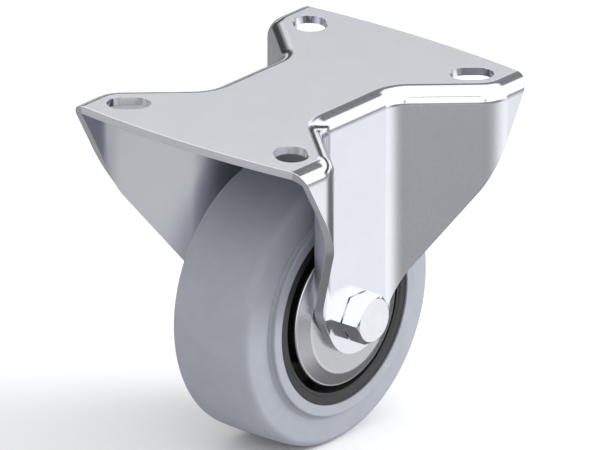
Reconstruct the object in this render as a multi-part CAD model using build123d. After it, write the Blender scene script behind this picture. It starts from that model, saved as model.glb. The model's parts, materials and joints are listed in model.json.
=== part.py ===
from build123d import *
import math
import os

# Fixed caster. Millimetres, +Z up. X is the rolling direction and Y lies along the axle.
# The origin is the centre of the mounting plate's top face, so everything hangs below z = 0.

# Bracket: one sheet, folded down along both long edges of the plate
SHEET = 2.5
LEG_GAP = 37.8  # clear width between the two legs
WING_WIDTH = 86.0  # over both wings of the plate
WAIST_CORNER_X = 16.2  # where the leg's flat would meet the flared wall, seen from above
FLARE_ANGLE = 48.0  # of the flared walls to X
WAIST_BEND_R = 9.5
WING_BEND_R = 11.0
FOLD_R = 4.8  # outer radius of the fold between plate and walls
CUT_ANGLE = 29.5  # of the walls' sloping edges to the vertical, seen from the side
LEG_END_R = 13.0
LEG_END_RISE = 1.6  # of the leg end's centre above the axle
PLATE_BOW = 2.2  # how far the plate's ends bulge beyond its corners

# Slots for the mounting screws
SLOT_SPACING_X = 80.0
SLOT_SPACING_Y = 60.0
SLOT_WIDTH = 9.4
SLOT_LENGTH = 12.5

# Axle and its fastener
AXLE_DROP = 64.0
BOLT_D = 8.0
BOLT_PLAY = 0.2  # radial, in the sleeve, the guards and the legs
HEAD_ACROSS_FLATS = 13.0
HEAD_HEIGHT = 5.8
HEAD_CHAMFER = 30.0
WASHER_FACE = 0.3
WASHER_FACE_D = 11.6
NUT_HEIGHT = 6.5
NUT_COLLAR_HEIGHT = 1.9
NUT_COLLAR_D = 11.4
NUT_COLLAR_WALL = 0.9
BOLT_BEYOND_NUT = 2.0
BOLT_TIP_CHAMFER = 0.8
NUT_RING_GRIP = 0.15  # gap between the nylon ring and the bolt

SLEEVE_D = 12.0
GUARD_SHEET = 1.0
GUARD_FLAT_INSET = 0.7  # of the flat's edge from the outside of the hub
GUARD_GAP = 2.25  # radial, to the rim of the wheel centre
GUARD_DEPTH = 3.0
GUARD_LIP = 0.8  # flat rim beyond the dish's cone
GUARD_BEND_R = 0.8

# Ball bearings, one at each end of the hub
BEARING_D = 32.0
BEARING_WIDTH = 10.0
BEARING_SPREAD = 22.0  # between the two bearings' middles
BALL_D = 5.9
BALL_COUNT = 7
BALL_PLAY = 0.06
INNER_RING_SHARE = 0.32  # of the radial room between sleeve and outside
OUTER_RING_SHARE = 0.30
BEARING_CHAMFER = 0.5
RING_SEAT_PLAY = 0.02
CAGE_HEIGHT = 2.0  # radial
CAGE_WIDTH = 7.2
POCKET_PLAY = 0.12
SHIELD_SHEET = 0.4
SHIELD_INSET = 0.5
SHIELD_PLAY = 0.25
SPACER_D = 17.0
SPACER_PLAY = 0.02

# Wheel centre: black moulded rim, ribbed web and hub
HUB_WALL = 2.4
HUB_HALF_WIDTH = 16.0
HUB_STOP_LIP = 1.5  # height of the stop between the two bearing seats
WEB_HEIGHT = 6.0  # radial, from hub to rim
WEB_HALF_WIDTH = 4.0
RIM_BAND = 3.5
RIM_HALF_WIDTH = 16.0
RIM_GROOVE_INSET = 1.8
RIM_GROOVE_DEPTH = 0.5
RIM_GROOVE_WIDTH = 0.5
TYRE_KEY_HEIGHT = 3.1
TYRE_KEY_HALF_WIDTH = 5.0
RIB_COUNT = 12
RIB_THICKNESS = 1.6
RIB_HALF_WIDTH = 11.0
RIB_ROOT = 0.5  # how far a rib runs into the hub and the rim

# Tyre: grey elastic, crowned
TYRE_R = 41.4
TREAD_HALF_WIDTH = 13.6
TREAD_DROP = 0.5  # of the crown, at the shoulders
SHOULDER_R = 2.7
BEAD_HEIGHT = 3.3
BEAD_HALF_WIDTH = 16.6
BEAD_EDGE_R = 0.5
BEAD_STEP = 1.8
SIDEWALL_FOOT_HEIGHT = 1.4  # above the bead

axle_z = -AXLE_DROP
leg_inner_y = LEG_GAP / 2
leg_outer_y = leg_inner_y + SHEET
wing_y = WING_WIDTH / 2
bolt_hole_r = BOLT_D / 2 + BOLT_PLAY
bearing_outer_y = (BEARING_SPREAD + BEARING_WIDTH) / 2
bearing_inner_y = (BEARING_SPREAD - BEARING_WIDTH) / 2
guard_inner_y = leg_inner_y - GUARD_SHEET
bore_r = BEARING_D / 2 + RING_SEAT_PLAY
bearing_room = (BEARING_D - SLEEVE_D) / 2
inner_shoulder_r = SLEEVE_D / 2 + INNER_RING_SHARE * bearing_room
outer_shoulder_r = BEARING_D / 2 - OUTER_RING_SHARE * bearing_room
pitch_r = (inner_shoulder_r + outer_shoulder_r) / 2
hub_r = BEARING_D / 2 + HUB_WALL
rim_band_inner_r = hub_r + WEB_HEIGHT
rim_r = rim_band_inner_r + RIM_BAND
rim_groove_r = rim_r - RIM_GROOVE_INSET
tyre_key_r = rim_r + TYRE_KEY_HEIGHT
bead_r = rim_r + BEAD_HEIGHT
guard_rim_r = rim_band_inner_r - GUARD_GAP
guard_flat_r = hub_r - GUARD_FLAT_INSET

SIDES = {"right": -1, "left": 1}
MARGIN = 1.0  # how far a cut runs past a face


def at_axle(shape):
    """Move a piece that was made around the Y axis down to the axle."""
    return Pos(0, 0, axle_z) * shape


def turned(outline):
    """Turn a half section, drawn with radius along X and axle position along Y, about the Y axis."""
    return revolve(outline, Axis.Y)


def section(points, roundings=()):
    """A closed half section. Each rounding is a corner of the outline and its radius."""
    return rounded(make_face(Polyline(*points, close=True)), roundings)


def rounded(outline, roundings):
    """The outline with each named corner rounded to its radius."""
    for corner, radius in roundings:
        outline = fillet(outline.vertices().sort_by_distance((*corner, 0))[0], radius)
    return outline


def tube(inner_r, outer_r, y_from, y_to, chamfer_size=0.0):
    """A plain ring about the Y axis, with all four corners of its section chamfered."""
    ring = section([(inner_r, y_from), (outer_r, y_from), (outer_r, y_to), (inner_r, y_to)])
    if chamfer_size:
        ring = chamfer(ring.vertices(), chamfer_size)
    return turned(ring)


def mirrored(shape, side):
    """The piece as made for the +Y side, or its mirror image for the other one."""
    return shape if side > 0 else mirror(shape, about=Plane.XZ)


def cut_half_width(z):
    """Half the bracket's length at a height, seen from the side, along its sloping edges."""
    slope = math.radians(CUT_ANGLE)
    end_z = axle_z + LEG_END_RISE
    return LEG_END_R / math.cos(slope) + (z - end_z) * math.tan(slope)


def folded_sheet():
    """Outer skin of the bracket before its edges are cut: a plate with walls folded down on both sides."""
    flare = math.tan(math.radians(FLARE_ANGLE))
    wing_x = WAIST_CORNER_X + (wing_y - leg_outer_y) / flare
    run_out = wing_x + WING_WIDTH  # well past the cut edges
    quarter = [(WAIST_CORNER_X, leg_outer_y), (wing_x, wing_y), (run_out, wing_y)]
    half = quarter + [(x, -y) for x, y in reversed(quarter)]
    plan = make_face(Polyline(*half, *[(-x, -y) for x, y in half], close=True))
    for corner_x, radius in ((WAIST_CORNER_X, WAIST_BEND_R), (wing_x, WING_BEND_R)):
        corners = plan.vertices().filter_by(lambda v: math.isclose(abs(v.X), corner_x, abs_tol=0.01))
        plan = fillet(corners, radius)
    depth = AXLE_DROP + LEG_END_R
    body = extrude(plan, amount=-depth)
    folds = body.edges().filter_by(lambda e: e.center().Z > -FOLD_R and abs(e.center().X) < run_out - MARGIN)
    body = fillet(folds, FOLD_R)
    skin = body.faces().filter_by(lambda f: abs(f.center().X) < run_out - MARGIN)
    return skin.filter_by(lambda f: f.center().Z > MARGIN - depth)


def side_cut():
    """What is left of the walls, seen from the side: two sloping edges and a round leg end."""
    slope = math.radians(CUT_ANGLE)
    end_z = axle_z + LEG_END_RISE
    tangent = (LEG_END_R * math.cos(slope), end_z - LEG_END_R * math.sin(slope))
    top = (cut_half_width(MARGIN), MARGIN)
    far_top, far_tangent = [(-x, z) for x, z in (top, tangent)]
    slopes = Polyline(tangent, top, far_top, far_tangent)
    leg_end = ThreePointArc(far_tangent, (0, end_z - LEG_END_R), tangent)
    return extrude(Plane.XZ * make_face([slopes, leg_end]), amount=WING_WIDTH, both=True)


def plate_outline():
    """The flat of the plate between its folds, with bowed ends."""
    x = cut_half_width(0)
    y = wing_y - FOLD_R
    back = ThreePointArc((x, -y), (x + PLATE_BOW, 0), (x, y))
    front = ThreePointArc((-x, y), (-x - PLATE_BOW, 0), (-x, -y))
    return make_face([back, Line(back @ 1, front @ 0), front, Line(front @ 1, back @ 0)])


def screw_slots():
    """Four slots, each lying parallel to the flared wall beside it."""
    cutters = []
    for x_side in (-1, 1):
        for y_side in (-1, 1):
            turn = FLARE_ANGLE * x_side * y_side
            centre = Pos(x_side * SLOT_SPACING_X / 2, y_side * SLOT_SPACING_Y / 2, -SHEET / 2)
            slot = SlotOverall(SLOT_LENGTH, SLOT_WIDTH)
            cutters.append(centre * Rot(0, 0, turn) * extrude(slot, amount=SHEET, both=True))
    return cutters


def make_bracket():
    """One skin, trimmed along its edges and thickened inwards, so that every cut edge stays square."""
    skin = folded_sheet()
    flat = skin.sort_by(Axis.Z)[-1]
    trimmed = (flat & plate_outline().face()).faces()
    keep = side_cut()
    for wall in skin.sort_by(Axis.Z)[:-1]:
        trimmed += (wall & keep).faces()
    sheet = Solid.thicken(Shell(trimmed), -SHEET)
    bolt_holes = at_axle(Rot(90, 0, 0) * Cylinder(bolt_hole_r, WING_WIDTH))
    return sheet - screw_slots() - bolt_holes


def hexagon(seat_y, top_y):
    """A hexagonal head or nut about the Y axis, its corners turned off to a cone at the top."""
    outward = math.copysign(1, top_y - seat_y)
    seat = Plane(origin=(0, seat_y, 0), x_dir=(1, 0, 0), z_dir=(0, outward, 0))
    flat_r = HEAD_ACROSS_FLATS / 2
    corner_r = HEAD_ACROSS_FLATS / math.sqrt(3)
    cone_y = top_y - outward * (corner_r - flat_r) * math.tan(math.radians(HEAD_CHAMFER))
    prism = extrude(seat * RegularPolygon(flat_r, 6, major_radius=False), amount=abs(top_y - seat_y))
    envelope = [(0, seat_y), (corner_r, seat_y), (corner_r, cone_y), (flat_r, top_y), (0, top_y)]
    return prism & turned(section(envelope))


def make_axle_bolt():
    """Hexagon head on the near leg, washer face under it, and a shank that passes through to the nut."""
    seat = -leg_outer_y
    under_head = seat - WASHER_FACE
    end = leg_outer_y + NUT_HEIGHT + NUT_COLLAR_HEIGHT + BOLT_BEYOND_NUT
    bolt_r = BOLT_D / 2
    shank = [
        (0, under_head),
        (WASHER_FACE_D / 2, under_head),
        (WASHER_FACE_D / 2, seat),
        (bolt_r, seat),
        (bolt_r, end - BOLT_TIP_CHAMFER),
        (bolt_r - BOLT_TIP_CHAMFER, end),
        (0, end),
    ]
    return at_axle(hexagon(under_head, under_head - HEAD_HEIGHT) + turned(section(shank)))


def make_lock_nut():
    """Hexagon nut with a thin collar that is rolled over the nylon ring."""
    collar_y = leg_outer_y + NUT_HEIGHT
    top = collar_y + NUT_COLLAR_HEIGHT
    outer_r = NUT_COLLAR_D / 2
    lip_y = top - NUT_COLLAR_WALL / 2
    collar = [(0, leg_outer_y), (outer_r, leg_outer_y), (outer_r, top), (0, top)]
    hollow = [
        (0, leg_outer_y - MARGIN),
        (BOLT_D / 2, leg_outer_y - MARGIN),
        (BOLT_D / 2, collar_y),
        (outer_r - NUT_COLLAR_WALL, collar_y),
        (outer_r - NUT_COLLAR_WALL, lip_y),
        (BOLT_D / 2 + NUT_COLLAR_WALL / 2, lip_y),
        (BOLT_D / 2 + NUT_COLLAR_WALL / 2, top + MARGIN),
        (0, top + MARGIN),
    ]
    nut = hexagon(leg_outer_y, collar_y) + turned(section(collar, [((outer_r, top), NUT_COLLAR_WALL)]))
    return at_axle(nut - turned(section(hollow)))


def make_nut_ring():
    """Nylon ring inside the nut's collar."""
    collar_y = leg_outer_y + NUT_HEIGHT
    top = collar_y + NUT_COLLAR_HEIGHT - NUT_COLLAR_WALL / 2
    outer_r = NUT_COLLAR_D / 2 - NUT_COLLAR_WALL
    return at_axle(tube(BOLT_D / 2 + NUT_RING_GRIP, outer_r, collar_y, top))


def make_axle_sleeve():
    """Tube that takes the bolt's clamping force from one guard to the other."""
    return at_axle(tube(bolt_hole_r, SLEEVE_D / 2, -guard_inner_y, guard_inner_y, BOLT_PLAY))


def make_thread_guard(side):
    """Dished disc of thin sheet that keeps thread and hair out of the bearing."""
    rim_y = leg_inner_y - GUARD_DEPTH
    rim_face_y = rim_y + GUARD_SHEET
    foot_r = guard_rim_r - GUARD_LIP
    slope = math.atan2(leg_inner_y - rim_face_y, foot_r - guard_flat_r)
    back_shift = GUARD_SHEET * math.tan(slope / 2)
    dish = [
        (bolt_hole_r, leg_inner_y),
        (guard_flat_r, leg_inner_y),
        (foot_r, rim_face_y),
        (guard_rim_r, rim_face_y),
        (guard_rim_r, rim_y),
        (foot_r - back_shift, rim_y),
        (guard_flat_r - back_shift, guard_inner_y),
        (bolt_hole_r, guard_inner_y),
    ]
    bends = [(dish[1], GUARD_BEND_R + GUARD_SHEET), (dish[6], GUARD_BEND_R), (dish[3], GUARD_SHEET / 2)]
    return at_axle(mirrored(turned(section(dish, bends)), side))


def race_groove(side):
    """The torus that the balls run in, a little larger than the balls."""
    groove = Torus(pitch_r, BALL_D / 2 + BALL_PLAY)
    return Pos(0, side * BEARING_SPREAD / 2, 0) * Rot(90, 0, 0) * groove


def make_inner_ring(side):
    """Inner bearing ring, which stands still on the sleeve."""
    inner_r = SLEEVE_D / 2 + RING_SEAT_PLAY
    ring = tube(inner_r, inner_shoulder_r, bearing_inner_y, bearing_outer_y, BEARING_CHAMFER)
    return at_axle(mirrored(ring, side) - race_groove(side))


def make_outer_ring(side):
    """Outer bearing ring, which turns with the hub."""
    ring = tube(outer_shoulder_r, BEARING_D / 2, bearing_inner_y, bearing_outer_y, BEARING_CHAMFER)
    return at_axle(mirrored(ring, side) - race_groove(side))


def ball_angles():
    """Where the balls stand around the axle, in degrees from +X towards +Z."""
    return [360 * index / BALL_COUNT for index in range(BALL_COUNT)]


def make_balls(side):
    """One bearing's balls, as separate solids in one group."""
    middle = Pos(0, side * BEARING_SPREAD / 2, axle_z)
    ball = Pos(pitch_r, 0, 0) * Sphere(BALL_D / 2)
    return Compound(children=[middle * Rot(0, -angle, 0) * ball for angle in ball_angles()])


def make_cage(side):
    """Ring that keeps the balls apart, with a round radial pocket for each."""
    middle = side * BEARING_SPREAD / 2
    band = tube(pitch_r - CAGE_HEIGHT / 2, pitch_r + CAGE_HEIGHT / 2, -CAGE_WIDTH / 2, CAGE_WIDTH / 2)
    cage = at_axle(Pos(0, middle, 0) * band)
    pocket = Cylinder(BALL_D / 2 + POCKET_PLAY, pitch_r, align=(Align.CENTER, Align.CENTER, Align.MIN))
    for angle in ball_angles():
        cage -= Pos(0, middle, axle_z) * Rot(0, 90 - angle, 0) * Pos(0, 0, pitch_r / 2) * pocket
    return cage


def make_shield(side, outward):
    """Thin ring that closes one face of a bearing. It turns with the outer ring."""
    face_y = bearing_outer_y - SHIELD_INSET if outward else bearing_inner_y + SHIELD_INSET + SHIELD_SHEET
    ring = tube(inner_shoulder_r + SHIELD_PLAY, outer_shoulder_r, face_y - SHIELD_SHEET, face_y)
    return at_axle(mirrored(ring, side))


def make_spacer_ring(side):
    """Ring between a bearing's inner ring and the thread guard."""
    ring = tube(SLEEVE_D / 2 + SPACER_PLAY, SPACER_D / 2, bearing_outer_y, guard_inner_y)
    return at_axle(mirrored(ring, side))


def make_distance_tube():
    """Tube between the two inner rings."""
    return at_axle(tube(SLEEVE_D / 2 + SPACER_PLAY, SPACER_D / 2, -bearing_inner_y, bearing_inner_y))


def symmetric_section(half_points):
    """A section that is the same on both sides of the wheel's middle plane, from its +Y half."""
    return section(half_points + [(r, -y) for r, y in reversed(half_points)])


def make_wheel_centre():
    """Hub with two bearing seats, ribbed web and rim, moulded as one piece."""
    seat_y = bearing_inner_y
    half = [
        (bore_r - HUB_STOP_LIP, seat_y),
        (bore_r, seat_y),
        (bore_r, HUB_HALF_WIDTH),
        (hub_r, HUB_HALF_WIDTH),
        (hub_r, WEB_HALF_WIDTH),
        (rim_band_inner_r, WEB_HALF_WIDTH),
        (rim_band_inner_r, RIM_HALF_WIDTH),
        (rim_groove_r, RIM_HALF_WIDTH),
        (rim_groove_r, RIM_HALF_WIDTH - RIM_GROOVE_DEPTH),
        (rim_groove_r + RIM_GROOVE_WIDTH, RIM_HALF_WIDTH - RIM_GROOVE_DEPTH),
        (rim_groove_r + RIM_GROOVE_WIDTH, RIM_HALF_WIDTH),
        (rim_r, RIM_HALF_WIDTH),
        (rim_r, TYRE_KEY_HALF_WIDTH + TYRE_KEY_HEIGHT),
        (tyre_key_r, TYRE_KEY_HALF_WIDTH),
    ]
    centre = turned(symmetric_section(half))
    rib_length = rim_band_inner_r - hub_r + 2 * RIB_ROOT
    rib = Box(rib_length, 2 * RIB_HALF_WIDTH, RIB_THICKNESS)
    for index in range(RIB_COUNT):
        centre += Rot(0, 360 * index / RIB_COUNT, 0) * Pos((rim_band_inner_r + hub_r) / 2, 0, 0) * rib
    return at_axle(centre)


def make_tyre():
    """Elastic tyre around the rim: bead rings, sidewalls, round shoulders and a crowned tread."""
    crown_end_r = TYRE_R - TREAD_DROP
    key_y = TYRE_KEY_HALF_WIDTH + TYRE_KEY_HEIGHT
    bead_foot_y = BEAD_HALF_WIDTH - BEAD_STEP
    right = [
        (tyre_key_r, TYRE_KEY_HALF_WIDTH),
        (rim_r, key_y),
        (rim_r, BEAD_HALF_WIDTH),
        (bead_r, BEAD_HALF_WIDTH),
        (bead_r, bead_foot_y),
        (bead_r + SIDEWALL_FOOT_HEIGHT, bead_foot_y),
        (crown_end_r, TREAD_HALF_WIDTH),
    ]
    left = [(r, -y) for r, y in reversed(right)]
    crown = ThreePointArc(right[-1], (TYRE_R, 0), left[0])
    outline = make_face([Polyline(*right), crown, Polyline(*left), Line(left[-1], right[0])])
    roundings = [
        ((r, side * y), radius)
        for side in SIDES.values()
        for r, y, radius in (
            (crown_end_r, TREAD_HALF_WIDTH, SHOULDER_R),
            (bead_r, BEAD_HALF_WIDTH, BEAD_EDGE_R),
            (bead_r, bead_foot_y, BEAD_EDGE_R),
            (rim_r, BEAD_HALF_WIDTH, BEAD_EDGE_R / 2),
        )
    ]
    return at_axle(turned(rounded(outline, roundings)))


def make_nodes():
    """Every piece under its own name."""
    nodes = {
        "bracket": make_bracket(),
        "axle_bolt": make_axle_bolt(),
        "lock_nut": make_lock_nut(),
        "lock_nut_ring": make_nut_ring(),
        "axle_sleeve": make_axle_sleeve(),
        "distance_tube": make_distance_tube(),
        "wheel_centre": make_wheel_centre(),
        "tyre": make_tyre(),
    }
    for name, side in SIDES.items():
        nodes[f"thread_guard_{name}"] = make_thread_guard(side)
        nodes[f"spacer_ring_{name}"] = make_spacer_ring(side)
        nodes[f"bearing_inner_ring_{name}"] = make_inner_ring(side)
        nodes[f"bearing_outer_ring_{name}"] = make_outer_ring(side)
        nodes[f"bearing_balls_{name}"] = make_balls(side)
        nodes[f"bearing_cage_{name}"] = make_cage(side)
        nodes[f"bearing_shield_outside_{name}"] = make_shield(side, True)
        nodes[f"bearing_shield_inside_{name}"] = make_shield(side, False)
    return nodes


os.makedirs("parts", exist_ok=True)
for node_name, node_shape in make_nodes().items():
    export_step(node_shape, f"parts/{node_name}.step")
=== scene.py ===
"""Fixed caster in a plain white studio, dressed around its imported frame.

The frame gives the real sizes in metres, with +Z up, X along the rolling direction and Y along the axle.
Sizes below are millimetres, as a drawing would give them, and become metres where a mesh is made.
"""

import json
import logging
import math
from contextlib import contextmanager
from dataclasses import dataclass, field
from enum import Enum
from typing import Callable, Iterator, Sequence, Union

import bmesh
import bpy
from mathutils import Matrix, Vector

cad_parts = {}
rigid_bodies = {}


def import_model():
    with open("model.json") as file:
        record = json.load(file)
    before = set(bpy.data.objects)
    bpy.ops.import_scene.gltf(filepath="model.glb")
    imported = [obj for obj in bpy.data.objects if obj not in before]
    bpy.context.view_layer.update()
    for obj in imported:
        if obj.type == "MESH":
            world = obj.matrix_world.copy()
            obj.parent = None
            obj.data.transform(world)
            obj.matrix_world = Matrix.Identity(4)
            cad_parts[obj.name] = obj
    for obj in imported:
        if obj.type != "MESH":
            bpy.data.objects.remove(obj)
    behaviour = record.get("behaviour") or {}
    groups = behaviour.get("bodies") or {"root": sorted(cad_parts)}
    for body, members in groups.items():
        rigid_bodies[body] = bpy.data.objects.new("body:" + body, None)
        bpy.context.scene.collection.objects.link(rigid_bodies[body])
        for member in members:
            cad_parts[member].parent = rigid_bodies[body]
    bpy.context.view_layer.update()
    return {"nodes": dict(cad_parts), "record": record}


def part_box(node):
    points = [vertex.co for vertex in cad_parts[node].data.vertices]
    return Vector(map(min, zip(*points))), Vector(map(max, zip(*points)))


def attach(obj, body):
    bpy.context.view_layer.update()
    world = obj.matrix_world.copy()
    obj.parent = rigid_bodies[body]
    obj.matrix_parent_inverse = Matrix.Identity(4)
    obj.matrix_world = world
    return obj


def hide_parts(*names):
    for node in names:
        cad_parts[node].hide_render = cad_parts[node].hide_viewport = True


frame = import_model()

log = logging.getLogger("caster")

MM = 0.001
MERGE_GAP = 0.002 * MM
ON_AXIS = 0.001  # the radius of a turned section's inner corners, just off the axis
ARC_STEP = 8.0  # degrees that one piece of a turned section's arcs turns
FLAT_FACE_WEIGHT = 60

Point = tuple[float, float]
Place = tuple[float, float, float]
Colour = tuple[float, float, float]
Element = Union[bmesh.types.BMVert, bmesh.types.BMEdge, bmesh.types.BMFace]
Socket = bpy.types.NodeSocket
Value = Union[float, Socket]


class Body(Enum):
    """The bodies of the frame that pieces ride on."""

    BRACKET = "caster_bracket"
    WHEEL = "wheel"


class Side(Enum):
    """The two sides of the wheel, and the sign of Y on each."""

    RIGHT = -1
    LEFT = 1

    @property
    def label(self) -> str:
        """The side's name in node names."""
        return self.name.lower()


class Kind(Enum):
    """What is selected in a mesh: the name of its list there, and of edit mode's switch."""

    VERTICES = ("verts", "VERT")
    EDGES = ("edges", "EDGE")
    FACES = ("faces", "FACE")

    @property
    def group(self) -> str:
        """The name of the mesh's list."""
        return self.value[0]

    @property
    def mode(self) -> str:
        """The name of edit mode's switch."""
        return self.value[1]


class Overlap(Enum):
    """What becomes of a piece where a cutter is laid over it."""

    CUT_AWAY = "DIFFERENCE"
    KEEP = "INTERSECT"
    JOIN = "UNION"


# Modelling tools


def deselect_all() -> None:
    """Leave nothing selected, so that an operator acts only on what is picked next."""
    for thing in bpy.context.view_layer.objects:
        thing.select_set(False)


def make_active(piece: bpy.types.Object) -> None:
    """Select one piece alone and make it the active one.

    Args:
        piece: The piece that the next operators act on.
    """
    deselect_all()
    piece.select_set(True)
    bpy.context.view_layer.objects.active = piece


@contextmanager
def editing(piece: bpy.types.Object, kind: Kind = Kind.VERTICES) -> Iterator[bpy.types.Mesh]:
    """Open a piece in edit mode, with nothing selected in it, and close it again.

    Args:
        piece: The mesh object to edit.
        kind: What edit mode selects.

    Returns:
        The piece's mesh data, while it is open.
    """
    make_active(piece)
    bpy.ops.object.mode_set(mode="EDIT")
    bpy.ops.mesh.select_mode(type=kind.mode)
    bpy.ops.mesh.select_all(action="DESELECT")
    try:
        yield piece.data
    finally:
        bpy.ops.object.mode_set(mode="OBJECT")


def pick(mesh: bpy.types.Mesh, kind: Kind, test: Callable[[Element], bool]) -> int:
    """Select the vertices, edges or faces that pass a test, in edit mode.

    Args:
        mesh: The mesh that is open in edit mode.
        kind: What is selected.
        test: Says whether one element is wanted.

    Returns:
        How many elements were selected.
    """
    shape = bmesh.from_edit_mesh(mesh)
    for group in (shape.verts, shape.edges, shape.faces):
        for element in group:
            element.select = False
    wanted = [element for element in getattr(shape, kind.group) if test(element)]
    for element in wanted:
        element.select_set(True)
    bmesh.update_edit_mesh(mesh)
    return len(wanted)


def middle(element: bmesh.types.BMEdge | bmesh.types.BMFace) -> Vector:
    """The mean of an edge's or a face's corners."""
    return sum((v.co for v in element.verts), Vector()) / len(element.verts)


def settle(name: str) -> bpy.types.Object:
    """Name the primitive that was just added and take its place into its mesh.

    Args:
        name: The new piece's name.

    Returns:
        The piece, with its object at the origin.
    """
    piece = bpy.context.object
    piece.name = piece.data.name = name
    bpy.ops.object.transform_apply(location=True, rotation=True, scale=True)
    return piece


def rod(
    name: str, corners: int, radius: float, length: float, centre: Vector, turn: float = 0.0,
) -> bpy.types.Object:
    """Add a cylinder or a prism that lies along the axle.

    Args:
        name: The new piece's name.
        corners: How many corners its ends have.
        radius: From its axis to a corner, in millimetres.
        length: Its length in millimetres.
        centre: Its middle in metres.
        turn: How far it is turned about its axis, in degrees.

    Returns:
        The closed cylinder.
    """
    bpy.ops.mesh.primitive_cylinder_add(
        vertices=corners, radius=radius * MM, depth=length * MM,
        location=centre, rotation=(math.pi / 2, math.radians(turn), 0),
    )
    return settle(name)


def trace(name: str, points: Sequence[Vector]) -> bpy.types.Object:
    """Draw a closed outline by extruding one vertex from point to point.

    Args:
        name: The new piece's name.
        points: The outline's corners in metres.

    Returns:
        A mesh object that holds the outline's edges.
    """
    bpy.ops.mesh.primitive_plane_add(size=MM, location=points[0])
    piece = settle(name)
    with editing(piece) as mesh:
        bpy.ops.mesh.select_all(action="SELECT")
        bpy.ops.mesh.merge(type="CENTER")
        for start, end in zip(points, points[1:]):
            bpy.ops.mesh.extrude_vertices_move(TRANSFORM_OT_translate={"value": end - start})
        pick(mesh, Kind.VERTICES, lambda vertex: len(vertex.link_edges) == 1)
        bpy.ops.mesh.edge_face_add()
    return piece


def rounded(points: Sequence[Point], radii: dict[int, float], step: float = 12.0) -> list[Point]:
    """Round some corners of a closed outline.

    Args:
        points: The sharp outline.
        radii: The radius for each corner that is rounded, by its index.
        step: How many degrees one piece of an arc turns.

    Returns:
        The outline with arcs in place of those corners.
    """
    outline: list[Point] = []
    for index, corner in enumerate(points):
        if index not in radii:
            outline.append(corner)
            continue
        here = Vector(corner)
        to_last = (Vector(points[index - 1]) - here).normalized()
        to_next = (Vector(points[(index + 1) % len(points)]) - here).normalized()
        half = to_last.angle(to_next) / 2
        radius = radii[index]
        tangent = radius / math.tan(half)
        centre = here + (to_last + to_next).normalized() * (radius / math.sin(half))
        start = here + to_last * tangent - centre
        end = here + to_next * tangent - centre
        turn = math.atan2(start.x * end.y - start.y * end.x, start.dot(end))
        pieces = max(2, round(abs(math.degrees(turn)) / step))
        for part in range(pieces + 1):
            ray = Matrix.Rotation(turn * part / pieces, 2) @ start
            outline.append(tuple(centre + ray))
    return outline


def apply_modifiers(piece: bpy.types.Object) -> None:
    """Apply every modifier of a piece, in order.

    Args:
        piece: The piece whose modifiers are applied.
    """
    make_active(piece)
    for modifier in list(piece.modifiers):
        bpy.ops.object.modifier_apply(modifier=modifier.name)


def soften_edges(piece: bpy.types.Object, width: float, segments: int = 2, angle: float = 35.0) -> None:
    """Round a piece's sharp edges a little and shade it smooth between them.

    Args:
        piece: The piece to finish.
        width: The rounding's width in millimetres.
        segments: How many faces each rounding has.
        angle: Edges that turn by more than this many degrees are rounded.
    """
    bevel = piece.modifiers.new("edge_rounding", "BEVEL")
    bevel.width = width * MM
    bevel.segments = segments
    bevel.limit_method = "ANGLE"
    bevel.angle_limit = math.radians(angle)
    bevel.miter_outer = "MITER_ARC"
    bevel.use_clamp_overlap = True
    apply_modifiers(piece)
    make_active(piece)
    bpy.ops.object.shade_smooth_by_angle(angle=math.radians(angle))
    weighted = piece.modifiers.new("flat_faces_stay_flat", "WEIGHTED_NORMAL")
    weighted.keep_sharp = True
    weighted.weight = FLAT_FACE_WEIGHT
    apply_modifiers(piece)


def cut(piece: bpy.types.Object, cutter: bpy.types.Object, overlap: Overlap = Overlap.CUT_AWAY) -> None:
    """Lay a cutter over a piece, and delete the cutter.

    Args:
        piece: The piece that changes.
        cutter: The closed shape that is laid over it.
        overlap: What becomes of the piece there.
    """
    boolean = piece.modifiers.new("cut", "BOOLEAN")
    boolean.operation = overlap.value
    boolean.solver = "EXACT"
    boolean.object = cutter
    apply_modifiers(piece)
    bpy.data.objects.remove(cutter)


def merge_and_face_out(piece: bpy.types.Object) -> None:
    """Merge doubled vertices and turn every face outwards.

    Args:
        piece: The piece to mend.
    """
    with editing(piece):
        bpy.ops.mesh.select_all(action="SELECT")
        bpy.ops.mesh.remove_doubles(threshold=MERGE_GAP)
        bpy.ops.mesh.normals_make_consistent(inside=False)


def spun(name: str, outline: Sequence[Point], centre: Vector, steps: int) -> bpy.types.Object:
    """Turn a closed half section about the axle.

    Args:
        name: The new piece's name.
        outline: Radius and place along Y of each corner, in millimetres.
        centre: The wheel's centre in metres.
        steps: How many faces go round.

    Returns:
        The closed ring.
    """
    piece = trace(name, [centre + Vector((radius, y, 0)) * MM for radius, y in outline])
    with editing(piece):
        bpy.ops.mesh.select_all(action="SELECT")
        bpy.ops.mesh.spin(steps=steps, angle=math.tau, center=centre, axis=(0, 1, 0), use_auto_merge=True)
    merge_and_face_out(piece)
    return piece


def both_halves(half: Sequence[Point]) -> list[Point]:
    """A section that is the same on both sides of the wheel's middle plane."""
    return list(half) + [(radius, -y) for radius, y in reversed(half)]


# Finishes

NOISE_ROUGHNESS = 0.55
NOISE_RANGE = (0.3, 0.7)  # what a noise mostly stays between
BLOTCH_DETAIL = 3.0
GRAIN_DETAIL = 4.0
LEAST_ROUGHNESS = 0.02
OUTWARD = 0.2  # a normal with a greater part away from the middle plane is on a wall's outer side
UPWARD = 0.5
DOWNWARD = -0.2


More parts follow.
